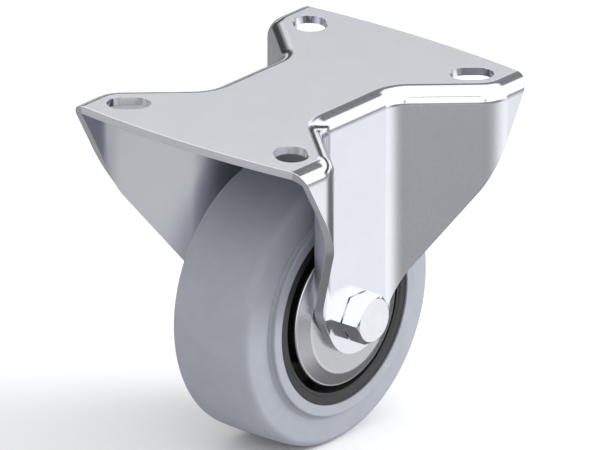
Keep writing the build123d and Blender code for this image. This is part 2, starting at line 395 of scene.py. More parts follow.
class Nodes:
    """A small helper that builds one node tree."""

    def __init__(self, tree: bpy.types.NodeTree) -> None:
        """Start with an empty tree."""
        self.tree = tree
        tree.nodes.clear()

    def add(self, kind: str, inputs: dict[str | int, object] | None = None, **settings: object) -> bpy.types.Node:
        """Add a node.

        Args:
            kind: The node's Blender type name.
            inputs: A number, a colour or another node's socket for each input, by its name or place.
            settings: Values for the node's own properties.

        Returns:
            The new node.
        """
        node = self.tree.nodes.new(kind)
        for key, value in settings.items():
            setattr(node, key, value)
        for key, value in (inputs or {}).items():
            self._feed(node.inputs[key], value)
        return node

    def _feed(self, socket: Socket, value: object) -> None:
        """Link a socket to another node's, or set its value.

        Args:
            socket: The input.
            value: What it gets.
        """
        if isinstance(value, Socket):
            self.tree.links.new(value, socket)
        else:
            socket.default_value = value

    def maths(self, operation: str, *values: Value) -> Socket:
        """The result of one Math node."""
        return self.add("ShaderNodeMath", dict(enumerate(values)), operation=operation).outputs[0]

    def split(self, vector: Socket) -> Sequence[Socket]:
        """The three parts of a vector."""
        return self.add("ShaderNodeSeparateXYZ", {0: vector}).outputs

    def mix(self, share: Value, low: Colour, high: Colour) -> Socket:
        """A colour between two others.

        Args:
            share: 0 for the first colour and 1 for the second.
            low: The first colour.
            high: The second colour.

        Returns:
            The mixed colour.
        """
        node = self.add("ShaderNodeMix", data_type="RGBA")
        for key, value in (("Factor", share), ("A", (*low, 1.0)), ("B", (*high, 1.0))):
            self._feed(next(s for s in node.inputs if s.name == key and s.enabled), value)
        return next(s for s in node.outputs if s.enabled)

    def spread(self, value: Value, low: float, high: float, to_low: float, to_high: float) -> Socket:
        """A value mapped from one range to another, smoothly and within its ends."""
        inputs = {"Value": value, "From Min": low, "From Max": high, "To Min": to_low, "To Max": to_high}
        return self.add("ShaderNodeMapRange", inputs, interpolation_type="SMOOTHSTEP").outputs["Result"]


@dataclass(frozen=True)
class Finish:
    """A surface: its colour, how far that colour wanders, its gloss and its grain.

    Lumps of colour and of grain are about as many millimetres wide as their sizes say. A folded sheet is
    rougher by dull_inside on the inner side and the cut edges of its walls, below plate_depth.
    """

    slot: str
    colour: Colour
    metallic: float = 0.0
    roughness: float = 0.5
    colour_drift: float = 0.04
    drift_size: float = 9.0
    roughness_drift: float = 0.05
    grain_size: float = 0.4
    grain_depth: float = 0.004
    dull_inside: float = 0.0
    plate_depth: float = 2.6

    def material(self) -> bpy.types.Material:
        """Build the finish as a procedural material on Object coordinates.

        Returns:
            The new material.
        """
        material = bpy.data.materials.new(f"{self.slot}_finish")
        material.use_nodes = True
        nodes = Nodes(material.node_tree)
        place = nodes.add("ShaderNodeTexCoord").outputs["Object"]
        blotches = self._noise(nodes, place, self.drift_size, BLOTCH_DETAIL)
        grain = self._noise(nodes, place, self.grain_size, GRAIN_DETAIL)
        low = tuple(channel * (1 - self.colour_drift) for channel in self.colour)
        high = tuple(min(1.0, channel * (1 + self.colour_drift)) for channel in self.colour)
        least = max(LEAST_ROUGHNESS, self.roughness - self.roughness_drift)
        roughness = nodes.spread(grain, *NOISE_RANGE, least, self.roughness + self.roughness_drift)
        if self.dull_inside:
            added = nodes.maths("MULTIPLY", self._walls_inside(nodes, place), self.dull_inside)
            roughness = nodes.maths("ADD", roughness, added)
        bump = nodes.add("ShaderNodeBump", {"Strength": 1.0, "Distance": self.grain_depth * MM, "Height": grain})
        surface = nodes.add(
            "ShaderNodeBsdfPrincipled",
            {
                "Base Color": nodes.mix(nodes.spread(blotches, *NOISE_RANGE, 0.0, 1.0), low, high),
                "Metallic": self.metallic,
                "Roughness": roughness,
                "Normal": bump.outputs["Normal"],
            },
        )
        nodes.add("ShaderNodeOutputMaterial", {"Surface": surface.outputs["BSDF"]})
        return material

    def _walls_inside(self, nodes: Nodes, place: Socket) -> Socket:
        """Find the inner side and the cut edges of a folded sheet's walls.

        Args:
            nodes: The material's nodes.
            place: The Object coordinates.

        Returns:
            1 on those faces, which look inwards, along the sheet or down, and 0 elsewhere.
        """
        facing = nodes.split(nodes.add("ShaderNodeNewGeometry").outputs["Normal"])
        spot = nodes.split(place)
        outward = nodes.maths("MULTIPLY", facing[1], nodes.maths("SIGN", spot[1]))
        not_out = nodes.maths("LESS_THAN", outward, OUTWARD)
        not_up = nodes.maths("LESS_THAN", facing[2], UPWARD)
        down = nodes.maths("LESS_THAN", facing[2], DOWNWARD)
        hidden = nodes.maths("MAXIMUM", nodes.maths("MULTIPLY", not_out, not_up), down)
        below_plate = nodes.maths("LESS_THAN", spot[2], -self.plate_depth * MM)
        return nodes.maths("MULTIPLY", hidden, below_plate)

    @staticmethod
    def _noise(nodes: Nodes, place: Socket, size: float, detail: float) -> Socket:
        """Noise whose lumps are about that many millimetres wide."""
        inputs = {"Vector": place, "Scale": 1 / (size * MM), "Detail": detail, "Roughness": NOISE_ROUGHNESS}
        return nodes.add("ShaderNodeTexNoise", inputs).outputs["Fac"]


ZINC_SHEET = Finish(
    "zinc_sheet", (0.825, 0.839, 0.892), 1.0, 0.13,
    colour_drift=0.012, drift_size=14.0, roughness_drift=0.03, grain_size=0.5, grain_depth=0.0002,
    dull_inside=0.20,
)
ZINC_FASTENER = Finish(
    "zinc_fastener", (0.83, 0.845, 0.885), 1.0, 0.10,
    colour_drift=0.015, drift_size=3.0, roughness_drift=0.03, grain_size=0.3, grain_depth=0.0003,
)
GUARD_SHEET = Finish(
    "guard_sheet", (0.66, 0.66, 0.69), 1.0, 0.30,
    colour_drift=0.015, drift_size=8.0, roughness_drift=0.03, grain_size=0.35, grain_depth=0.00015,
)
GREY_RUBBER = Finish(
    "grey_rubber", (0.285, 0.300, 0.338), 0.0, 0.52,
    colour_drift=0.03, drift_size=7.0, roughness_drift=0.06, grain_size=0.22, grain_depth=0.004,
)
BLACK_NYLON = Finish(
    "black_nylon", (0.021, 0.021, 0.022), 0.0, 0.42,
    colour_drift=0.10, drift_size=5.0, roughness_drift=0.05, grain_size=0.3, grain_depth=0.004,
)
BARE_STEEL = Finish("bare_steel", (0.56, 0.55, 0.54), 1.0, 0.30, grain_size=0.15, grain_depth=0.001)
BEARING_STEEL = Finish("bearing_steel", (0.62, 0.62, 0.63), 1.0, 0.18, grain_size=0.1, grain_depth=0.0005)
BALL_STEEL = Finish("ball_steel", (0.78, 0.78, 0.80), 1.0, 0.06, roughness_drift=0.02, grain_depth=0.0001)
CAGE_STEEL = Finish("cage_steel", (0.55, 0.52, 0.46), 1.0, 0.32, grain_size=0.2, grain_depth=0.001)
SHIELD_STEEL = Finish("shield_steel", (0.50, 0.50, 0.52), 1.0, 0.28, grain_size=0.2, grain_depth=0.001)
NYLON_RING = Finish("nylon_ring", (0.78, 0.76, 0.68), 0.0, 0.40, grain_size=0.2, grain_depth=0.002)
FINISHES = (
    ZINC_SHEET, ZINC_FASTENER, GUARD_SHEET, GREY_RUBBER, BLACK_NYLON, BARE_STEEL,
    BEARING_STEEL, BALL_STEEL, CAGE_STEEL, SHIELD_STEEL, NYLON_RING,
)


@dataclass
class PaintShop:
    """Keeps one material for each finish and puts pieces in their place in the frame."""

    materials: dict[str, bpy.types.Material] = field(default_factory=dict)

    def coat(self, piece: bpy.types.Object, finish: Finish) -> None:
        """Give a piece a finish, alone on its material slots.

        Args:
            piece: A modelled piece or one of the frame's nodes.
            finish: Its surface.
        """
        if finish.slot not in self.materials:
            self.materials[finish.slot] = finish.material()
        piece.data.materials.clear()
        piece.data.materials.append(self.materials[finish.slot])

    def fit(self, piece: bpy.types.Object, finish: Finish, body: Body, *stands_for: str) -> None:
        """Finish a new piece and hang it on the frame.

        Args:
            piece: The modelled piece, with its place in its mesh.
            finish: Its surface.
            body: The body that it rides on.
            stands_for: The frame's nodes that it takes the place of.
        """
        self.coat(piece, finish)
        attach(piece, body.value)
        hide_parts(*stands_for)
        triangles = sum(len(face.vertices) - 2 for face in piece.data.polygons)
        log.info("%s: %d triangles, %s, on %s", piece.name, triangles, finish.slot, body.value)


# Sub-assemblies


@dataclass
class Axle:
    """Where the axle runs, and the faces across it that pieces sit on."""

    sheet: float = 2.5
    centre: Vector = field(init=False)
    leg_inner: float = field(init=False)
    leg_outer: float = field(init=False)

    def __post_init__(self) -> None:
        """Read the places from the frame."""
        low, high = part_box("tyre")
        self.centre = (low + high) / 2
        self.leg_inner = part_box("thread_guard_left")[1].y / MM
        self.leg_outer = self.leg_inner + self.sheet

    def at(self, y: float) -> Vector:
        """The point on the axle at a place along Y, in metres."""
        return self.centre + Vector((0, y, 0)) * MM


@dataclass
class Bracket:
    """The folded sheet: a slotted plate, two legs and the flared walls between them."""

    axle: Axle
    waist_corner_x: float = 16.2
    flare_angle: float = 48.0
    waist_bend_r: float = 9.5
    wing_bend_r: float = 11.0
    bend_step: float = 4.0
    fold_r: float = 4.8
    fold_pieces: int = 14
    cut_angle: float = 29.5
    leg_end_r: float = 13.0
    leg_end_rise: float = 1.6
    leg_end_pieces: int = 28
    plate_bow: float = 2.2
    bow_pieces: int = 10
    slot_spacing: Point = (80.0, 60.0)
    slot_width: float = 9.4
    slot_length: float = 12.5
    slot_corners: int = 64
    slot_punch_length: float = 10.0
    bolt_hole_r: float = 4.2
    bolt_hole_corners: int = 72
    spare: float = 4.0
    edge_rounding: float = 0.14
    wing_y: float = field(init=False)
    end_z: float = field(init=False)
    plate_x: float = field(init=False)

    def __post_init__(self) -> None:
        """Place the leg ends' centre and the plate's ends, where the sloping cuts reach the top."""
        self.wing_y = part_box("bracket")[1].y / MM
        self.end_z = self.axle.centre.z / MM + self.leg_end_rise
        slope = math.radians(self.cut_angle)
        self.plate_x = self.leg_end_r / math.cos(slope) - self.end_z * math.tan(slope)

    def build(self, shop: PaintShop) -> None:
        """Fold, trim, thicken and punch the sheet.

        Args:
            shop: Finishes the piece and hangs it on the frame.
        """
        piece = self._folded_skin()
        self._trim_walls(piece)
        self._trim_plate(piece)
        merge_and_face_out(piece)
        self._face_up(piece)
        self._thicken(piece)
        self._punch(piece)
        soften_edges(piece, self.edge_rounding)
        shop.fit(piece, ZINC_SHEET, Body.BRACKET, "bracket")

    def _plan(self) -> list[Point]:
        """Draw the bracket's outline from above, with its bends, run out past both ends.

        Returns:
            The closed outline.
        """
        flare = math.tan(math.radians(self.flare_angle))
        wing_x = self.waist_corner_x + (self.wing_y - self.axle.leg_outer) / flare
        run_x = self.plate_x + self.plate_bow + self.spare
        quarter = [(run_x, self.wing_y), (wing_x, self.wing_y), (self.waist_corner_x, self.axle.leg_outer)]
        half = quarter + [(-x, y) for x, y in reversed(quarter)]
        outline = half + [(x, -y) for x, y in reversed(half)]
        radii = (0.0, self.wing_bend_r, self.waist_bend_r, self.waist_bend_r, self.wing_bend_r, 0.0)
        bends = {index: radius for index, radius in enumerate(radii + radii) if radius}
        return rounded(outline, bends, self.bend_step)

    def _folded_skin(self) -> bpy.types.Object:
        """Make the outer skin: the plan pulled down into walls, and folded over at the top.

        Returns:
            The open skin, with the plate's flat split from the rest.
        """
        outline = self._plan()
        piece = trace("bracket_sheet", [Vector((x, y, 0)) * MM for x, y in outline])
        end_x = max(x for x, _ in outline) * MM
        depth = (self.leg_end_r - self.end_z + self.spare) * MM
        with editing(piece) as mesh:
            bpy.ops.mesh.select_all(action="SELECT")
            bpy.ops.mesh.edge_face_add()
            bpy.ops.mesh.extrude_region_move(TRANSFORM_OT_translate={"value": (0, 0, -depth)})
            bpy.ops.mesh.select_mode(type=Kind.FACES.mode)
            pick(mesh, Kind.FACES, lambda f: middle(f).z < -depth + MM or abs(middle(f).x) > end_x - MERGE_GAP)
            bpy.ops.mesh.delete(type="FACE")
            bpy.ops.mesh.select_mode(type=Kind.EDGES.mode)
            pick(mesh, Kind.EDGES, lambda e: middle(e).z > -MERGE_GAP and abs(middle(e).x) < end_x - MERGE_GAP)
            bpy.ops.mesh.bevel(
                offset_type="OFFSET", offset=self.fold_r * MM, segments=self.fold_pieces, affect="EDGES",
                profile=0.5, clamp_overlap=False, loop_slide=True,
            )
        with editing(piece, Kind.FACES) as mesh:
            pick(mesh, Kind.FACES, self._is_plate)
            bpy.ops.mesh.split()
        return piece

    @staticmethod
    def _is_plate(face: bmesh.types.BMFace) -> bool:
        """Whether a face is the plate's flat."""
        return all(abs(vertex.co.z) < MERGE_GAP for vertex in face.verts)

    def _shear(self, piece: bpy.types.Object, planes: Sequence[tuple[Vector, Vector]], plate: bool) -> None:
        """Cut the plate or the walls along planes and drop what lies outside.

        Args:
            piece: The skin.
            planes: A point and an outward direction for each cut, in metres.
            plate: Whether the plate's flat is cut, or all the rest.
        """
        for point, outward in planes:
            with editing(piece, Kind.FACES) as mesh:
                if not pick(mesh, Kind.FACES, lambda f: self._is_plate(f) == plate):
                    continue
                bpy.ops.mesh.bisect(plane_co=point, plane_no=outward, clear_outer=True, threshold=MERGE_GAP / 4)

    def _trim_walls(self, piece: bpy.types.Object) -> None:
        """Cut the sloping edges and the round leg ends, as planes that touch the leg's end circle.

        Args:
            piece: The skin.
        """
        sweep = 180 - 2 * self.cut_angle
        centre = Vector((0, 0, self.end_z * MM))
        planes = []
        for index in range(self.leg_end_pieces + 1):
            angle = math.radians(-self.cut_angle - sweep * index / self.leg_end_pieces)
            outward = Vector((math.cos(angle), 0, math.sin(angle)))
            planes.append((centre + outward * self.leg_end_r * MM, outward))
        self._shear(piece, planes, plate=False)

    def _trim_plate(self, piece: bpy.types.Object) -> None:
        """Cut the plate's bowed ends, as planes that touch a shallow arc.

        Args:
            piece: The skin.
        """
        chord = self.wing_y - self.fold_r
        radius = (chord**2 + self.plate_bow**2) / (2 * self.plate_bow)
        half_angle = math.asin(chord / radius)
        planes = []
        for end in (-1, 1):
            centre = Vector((end * (self.plate_x + self.plate_bow - radius), 0, 0)) * MM
            for index in range(self.bow_pieces + 1):
                angle = half_angle * (2 * index / self.bow_pieces - 1)
                outward = Vector((end * math.cos(angle), math.sin(angle), 0))
                planes.append((centre + outward * radius * MM, outward))
        self._shear(piece, planes, plate=True)

    @staticmethod
    def _face_up(piece: bpy.types.Object) -> None:
        """Turn the open skin so that the plate looks up.

        Args:
            piece: The skin.
        """
        plate = max(piece.data.polygons, key=lambda face: face.area)
        if plate.normal.z < 0:
            with editing(piece):
                bpy.ops.mesh.select_all(action="SELECT")
                bpy.ops.mesh.flip_normals()

    def _thicken(self, piece: bpy.types.Object) -> None:
        """Give the skin its sheet thickness, inwards.

        Args:
            piece: The skin.
        """
        solidify = piece.modifiers.new("sheet", "SOLIDIFY")
        solidify.thickness = self.axle.sheet * MM
        solidify.offset = -1
        solidify.use_even_offset = True
        solidify.use_quality_normals = True
        apply_modifiers(piece)

    def _punch(self, piece: bpy.types.Object) -> None:
        """Punch the four screw slots and the two bolt holes.

        Args:
            piece: The thick sheet.
        """
        for x_side in (-1, 1):
            for y_side in (-1, 1):
                spot = Vector((x_side * self.slot_spacing[0] / 2, y_side * self.slot_spacing[1] / 2, 0)) * MM
                cut(piece, self._slot_punch(spot, math.radians(self.flare_angle * x_side * y_side)))
        corners, through = self.bolt_hole_corners, 2 * self.wing_y
        cut(piece, rod("bolt_punch", corners, self.bolt_hole_r, through, self.axle.centre))

    def _slot_punch(self, spot: Vector, turn: float) -> bpy.types.Object:
        """Make a round punch and pull it long.

        Args:
            spot: The slot's middle in metres.
            turn: The slot's direction from X, in radians.

        Returns:
            The closed punch.
        """
        bpy.ops.mesh.primitive_cylinder_add(
            vertices=self.slot_corners, radius=self.slot_width / 2 * MM, depth=self.slot_punch_length * MM,
            location=spot, rotation=(0, 0, turn + math.pi / self.slot_corners),
        )
        punch = settle("slot_punch")
        along = Vector((math.cos(turn), math.sin(turn), 0))
        for end in (-1, 1):
            with editing(punch) as mesh:
                pick(mesh, Kind.VERTICES, lambda v: (v.co - spot).dot(along) * end > 0)
                shift = along * end * (self.slot_length - self.slot_width) / 2 * MM
                bpy.ops.transform.translate(value=shift)
        return punch


@dataclass
class HexFastener:
    """What the bolt's head and the nut share: a hexagon with its corners turned off."""

    axle: Axle
    across_flats: float = 13.0
    turn: float = 30.0
    chamfer_angle: float = 30.0
    corner_spare: float = 0.05
    face_inset: float = 0.1
    corner_steps: int = 120
    turned_steps: int = 96
    edge_rounding: float = 0.07

    def hexagon(self, name: str, seat: float, top: float, both_ends: bool = False) -> bpy.types.Object:
        """Make a hexagon about the axle.

        Args:
            name: The new piece's name.
            seat: Where it starts along Y, in millimetres.
            top: Where it ends along Y.
            both_ends: Whether the seat's corners are turned off too.

        Returns:
            The closed hexagon.
        """
        corner_r = self.across_flats / math.sqrt(3)
        flat_r = self.across_flats / 2
        outward = math.copysign(1, top - seat)
        piece = rod(name, 6, corner_r, abs(top - seat), self.axle.at((seat + top) / 2), self.turn)
        drop = outward * (corner_r - flat_r) * math.tan(math.radians(self.chamfer_angle))
        round_r = corner_r + self.corner_spare
        face_r = flat_r - self.face_inset
        outline = [(ON_AXIS, seat), (round_r, seat), (round_r, top - drop), (face_r, top), (ON_AXIS, top)]
        if both_ends:
            outline[1:2] = [(flat_r, seat), (round_r, seat + drop)]
        cut(piece, spun("turned_corners", outline, self.axle.centre, self.corner_steps), Overlap.KEEP)
        merge_and_face_out(piece)
        return piece


@dataclass
class AxleBolt(HexFastener):
    """The hexagon-head bolt that is the axle, with its rolled thread."""

    head_height: float = 5.8
    head_rounding_pieces: int = 3
    head_rounding_angle: float = 14.0
    washer_face: float = 0.3
    washer_face_d: float = 12.7
    washer_face_chamfer: float = 0.15
    shank_d: float = 8.0
    shank_rounding: float = 0.08
    tip_chamfer: float = 0.8
    pitch: float = 1.25
    thread_depth: float = 0.62
    thread_turns: int = 9
    rings_a_turn: int = 12
    thread_corners: int = 72
    flank_slope: float = 2.6
    crest_share: float = 0.15
    thread_smoothing: float = 50.0

    def build(self, shop: PaintShop) -> None:
        """Make the head, the shank with its washer face, and the thread.

        Args:
            shop: Finishes each piece and hangs it on the frame.
        """
        seat = -self.axle.leg_outer
        under_head = seat - self.washer_face
        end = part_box("axle_bolt")[1].y / MM
        head = self.hexagon("axle_bolt_head", under_head, under_head - self.head_height)
        soften_edges(head, self.edge_rounding, self.head_rounding_pieces, self.head_rounding_angle)
        shop.fit(head, ZINC_FASTENER, Body.BRACKET, "axle_bolt")
        thread_start = end - self.thread_turns * self.pitch
        shank = self._shank(seat, under_head, thread_start)
        shop.fit(shank, ZINC_FASTENER, Body.BRACKET, "axle_bolt")
        thread = self._thread(thread_start, end)
        shop.fit(thread, ZINC_FASTENER, Body.BRACKET, "axle_bolt")

    def _shank(self, seat: float, under_head: float, end: float) -> bpy.types.Object:
        """Turn the washer face, rooted in the head, and the plain shank.

        Args:
            seat: Where the leg's outer face is along Y, in millimetres.
            under_head: Where the hexagon starts.
            end: Where the thread starts.

        Returns:
            The closed shank.
        """
        face_r = self.washer_face_d / 2
        root = under_head - self.washer_face
        outline = [
            (ON_AXIS, root), (face_r - self.washer_face_chamfer, root), (face_r, under_head), (face_r, seat),
            (self.shank_d / 2, seat), (self.shank_d / 2, end), (ON_AXIS, end),
        ]
        shank = spun("axle_bolt_shank", outline, self.axle.centre, self.turned_steps)
        soften_edges(shank, self.shank_rounding)
        return shank

    def _thread(self, start: float, end: float) -> bpy.types.Object:
        """Roll the thread: a fine cylinder whose rings follow one helix.

        Args:
            start: Where it starts along Y, in millimetres.
            end: Where the bolt ends.

        Returns:
            The closed thread.
        """
        rings = round((end - start) / self.pitch * self.rings_a_turn)
        crest = self.shank_d / 2
        centre = self.axle.at((start + end) / 2)
        piece = rod("axle_bolt_thread", self.thread_corners, crest, end - start, centre)
        with editing(piece, Kind.EDGES) as mesh:
            pick(mesh, Kind.EDGES, lambda e: abs(e.verts[0].co.y - e.verts[1].co.y) > MM)
            bpy.ops.mesh.subdivide(number_cuts=rings - 1)
        for vertex in piece.data.vertices:
            spoke = vertex.co - self.axle.centre
            along = spoke.y / MM
            turn = math.atan2(spoke.z, spoke.x) / math.tau
            phase = ((along - start) / self.pitch - turn) % 1.0
            flank = min(1.0, max(0.0, abs(phase - 0.5) * self.flank_slope - self.crest_share))
            radius = min(crest - self.thread_depth * flank, crest - self.tip_chamfer + (end - along))
            scale = radius * MM / math.hypot(spoke.x, spoke.z)
            vertex.co = self.axle.centre + Vector((spoke.x * scale, spoke.y, spoke.z * scale))
        make_active(piece)
        bpy.ops.object.shade_smooth_by_angle(angle=math.radians(self.thread_smoothing))
        return piece


@dataclass
class LockNut(HexFastener):
    """The nut with its rolled-over collar."""

    height: float = 6.5
    collar_height: float = 1.9
    collar_d: float = 11.4
    collar_wall: float = 0.9
    bore_d: float = 8.0
    bore_chamfer: float = 0.4
    collar_opening: float = 0.45
    overrun: float = 1.0
    nut_rounding_pieces: int = 2
    nut_rounding_angle: float = 18.0

    def build(self, shop: PaintShop) -> None:
        """Join the hexagon and the collar, and bore them through.

        Args:
            shop: Finishes the piece and hangs it on the frame.
        """
        seat = self.axle.leg_outer
        collar = seat + self.height
        top = collar + self.collar_height
        piece = self.hexagon("lock_nut_body", seat, collar, both_ends=True)
        outer_r = self.collar_d / 2
        inside = seat + self.overrun
        corners = [(ON_AXIS, inside), (outer_r, inside), (outer_r, top), (ON_AXIS, top)]
        outline = rounded(corners, {2: self.collar_wall})
        cut(piece, spun("collar", outline, self.axle.centre, self.turned_steps), Overlap.JOIN)
        cut(piece, spun("bore", self._bore(seat, collar, top), self.axle.centre, self.turned_steps))
        merge_and_face_out(piece)
        soften_edges(piece, self.edge_rounding, self.nut_rounding_pieces, self.nut_rounding_angle)
        shop.fit(piece, ZINC_FASTENER, Body.BRACKET, "lock_nut")

    def _bore(self, seat: float, collar: float, top: float) -> list[Point]:
        """Draw the bore, with the ring's seat under the collar's rolled lip.

        Args:
            seat: Where the nut starts along Y, in millimetres.
            collar: Where the collar starts.
            top: Where the collar ends.

        Returns:
            The bore's section, run out past both ends.
        """
        bore_r = self.bore_d / 2
        mouth_r = bore_r + self.bore_chamfer
        ring_r = self.collar_d / 2 - self.collar_wall
        lip_r = bore_r + self.collar_opening
        lip = top - self.collar_wall / 2
        return [
            (ON_AXIS, seat - self.overrun), (mouth_r, seat - self.overrun), (mouth_r, seat),
            (bore_r, seat + self.bore_chamfer), (bore_r, collar), (ring_r, collar), (ring_r, lip),
            (lip_r, lip), (lip_r, top + self.overrun), (ON_AXIS, top + self.overrun),
        ]


@dataclass
class ThreadGuard:
    """The dished disc between leg and bearing."""

    axle: Axle
    side: Side
    sheet: float = 1.0
    flat_r: float = 17.7
    lip: float = 0.55
    bend_r: float = 0.8
    hole_r: float = 4.2
    steps: int = 144
    edge_rounding: float = 0.12

    def build(self, shop: PaintShop) -> None:
        """Turn the dish about the axle.

        Args:
            shop: Finishes the piece and hangs it on the frame.
        """
        name = f"thread_guard_{self.side.label}"
        low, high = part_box(name)
        rim_r = (high.x - low.x) / 2 / MM
        face = self.axle.leg_inner
        rim_y = face - (high.y - low.y) / MM
        rim_face = rim_y + self.sheet
        foot_r = rim_r - self.lip
        slope = math.atan2(face - rim_face, foot_r - self.flat_r)
        shift = self.sheet * math.tan(slope / 2)
        dish = [
            (self.hole_r, face), (self.flat_r, face), (foot_r, rim_face), (rim_r, rim_face), (rim_r, rim_y),
            (foot_r - shift, rim_y), (self.flat_r - shift, face - self.sheet), (self.hole_r, face - self.sheet),
        ]
        bends = {1: self.bend_r + self.sheet, 3: self.sheet / 2, 6: self.bend_r}
        outline = [(radius, self.side.value * y) for radius, y in rounded(dish, bends, ARC_STEP)]
        piece = spun(f"{name}_disc", outline, self.axle.centre, self.steps)
        soften_edges(piece, self.edge_rounding)
        shop.fit(piece, GUARD_SHEET, Body.BRACKET, name)


@dataclass
class WheelCentre:
    """The black moulded centre: rim, ribbed web and hub in one piece."""

    axle: Axle
    bore_r: float = 16.02
    stop_lip: float = 1.5
    seat_y: float = 6.0
    hub_r: float = 18.4
    half_width: float = 16.0
    web_half: float = 4.0
    band_inner_r: float = 24.4
    step_r: float = 25.2
    step: float = 0.35
    rim_r: float = 27.9
    key_half: float = 5.0
    rib_count: int = 12
    rib_thickness: float = 1.6
    rib_half_width: float = 5.5
    rib_root: float = 0.5
    steps: int = 144
    edge_rounding: float = 0.18

    def build(self, shop: PaintShop) -> None:
        """Turn the section about the axle and set the ribs into it.

        Args:
            shop: Finishes the piece and hangs it on the frame.
        """
        piece = spun("wheel_centre_moulding", both_halves(self._half()), self.axle.centre, self.steps)
        for index in range(self.rib_count):
            cut(piece, self._rib(math.tau * index / self.rib_count), Overlap.JOIN)
        soften_edges(piece, self.edge_rounding)
        shop.fit(piece, BLACK_NYLON, Body.WHEEL, "wheel_centre")

    def _half(self) -> list[Point]:
        """Draw half of the section, from the bearing's stop to the key that holds the tyre.

        Returns:
            Radius and place along Y of each corner, in millimetres.
        """
        low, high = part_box("wheel_centre")
        key_r = (high.x - low.x) / 2 / MM
        step_y = self.half_width - self.step
        return [
            (self.bore_r - self.stop_lip, self.seat_y), (self.bore_r, self.seat_y), (self.bore_r, self.half_width),
            (self.hub_r, self.half_width), (self.hub_r, self.web_half), (self.band_inner_r, self.web_half),
            (self.band_inner_r, step_y), (self.step_r, step_y), (self.step_r + self.step, self.half_width),
            (self.rim_r, self.half_width), (self.rim_r, self.key_half + key_r - self.rim_r), (key_r, self.key_half),
        ]

    def _rib(self, angle: float) -> bpy.types.Object:
        """Make one rib, which runs into the hub and the band.

        Args:
            angle: Where it stands about the axle, in radians.

        Returns:
            The closed rib.
        """
        spoke = Vector((math.cos(angle), 0, math.sin(angle)))
        length = self.band_inner_r - self.hub_r + 2 * self.rib_root
        bpy.ops.mesh.primitive_cube_add(
            size=1, location=self.axle.centre + spoke * (self.band_inner_r + self.hub_r) / 2 * MM,
            rotation=(0, -angle, 0), scale=Vector((length, 2 * self.rib_half_width, self.rib_thickness)) * MM,
        )
        return settle("rib")


@dataclass
class Tyre:
    """The grey elastic tyre: bead rings, hollow sidewalls, round shoulders and a crowned tread."""

    axle: Axle
    tread_half: float = 13.6
    tread_drop: float = 0.5
    shoulder_r: float = 2.7
    bead_r: float = 31.2
    bead_edge_r: float = 0.5
    bead_step: float = 1.8
    foot_r: float = 32.6
    foot_bend_r: float = 1.0
    rim_r: float = 27.9
    key_r: float = 31.0
    key_half: float = 5.0
    crown_shares: tuple[float, ...] = (0.72, 0.5, 0.25, 0.08)
    parting_ridge: float = 0.05
    parting_width: float = 0.5
    steps: int = 200
    edge_rounding: float = 0.15
    smoothing: float = 50.0

    def build(self, shop: PaintShop) -> None:
        """Turn the tyre's section about the axle.

        Args:
            shop: Finishes the piece and hangs it on the frame.
        """
        low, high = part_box("tyre")
        tyre_r = (high.x - low.x) / 2 / MM
        bead_y = (high.y - low.y) / 2 / MM
        foot_y = bead_y - self.bead_step
        inner = [(self.key_r, self.key_half), (self.rim_r, self.key_half + self.key_r - self.rim_r)]
        outer = [
            (self.rim_r, bead_y), (self.bead_r, bead_y), (self.bead_r, foot_y), (self.foot_r, foot_y),
            (tyre_r - self.tread_drop, self.tread_half),
        ]
        half = inner + outer + self._crown(tyre_r)
        bead = {2: self.bead_edge_r / 2, 3: self.bead_edge_r, 4: self.bead_edge_r}
        radii = {**bead, 5: self.foot_bend_r, 6: self.shoulder_r}
        last = 2 * len(half) - 1
        mirrored = {last - index: radius for index, radius in radii.items()}
        outline = rounded(both_halves(half), {**radii, **mirrored}, ARC_STEP)
        piece = spun("tyre_rubber", outline, self.axle.centre, self.steps)
        soften_edges(piece, self.edge_rounding, angle=self.smoothing)
        shop.fit(piece, GREY_RUBBER, Body.WHEEL, "tyre")

    def _crown(self, tyre_r: float) -> list[Point]:
        """Draw half of the crowned tread, up to the fine ridge where the mould parts.

        Args:
            tyre_r: The tyre's greatest radius in millimetres.

        Returns:
            Radius and place along Y of each corner.
        """
        radius = (self.tread_half**2 + self.tread_drop**2) / (2 * self.tread_drop)
        crown = []
        for share in self.crown_shares:
            y = self.tread_half * share
            crown.append((tyre_r - radius + math.sqrt(radius**2 - y**2), y))
        ridge = [(tyre_r - self.parting_ridge, self.parting_width / 2), (tyre_r, self.parting_width / 4)]
        return crown + ridge


@dataclass
class InnerWorks:
    """The bearings, sleeve and spacers, which keep the frame's own shapes."""

    shop: PaintShop

    def dress(self) -> None:
        """Give each of the frame's nodes the finish of its material slot."""
        by_slot = {finish.slot: finish for finish in FINISHES}
        for part in frame["record"]["subparts"]:
            self.shop.coat(frame["nodes"][part["node"]], by_slot[part["material_slot"]])
            log.info("%s: %s", part["node"], part["material_slot"])


# Studio

ALL_ROUND = 180.0  # the half width of a panel that reaches all the way round
LEAST_LEVEL = 1e-4  # keeps the directions straight up and down from a division by zero


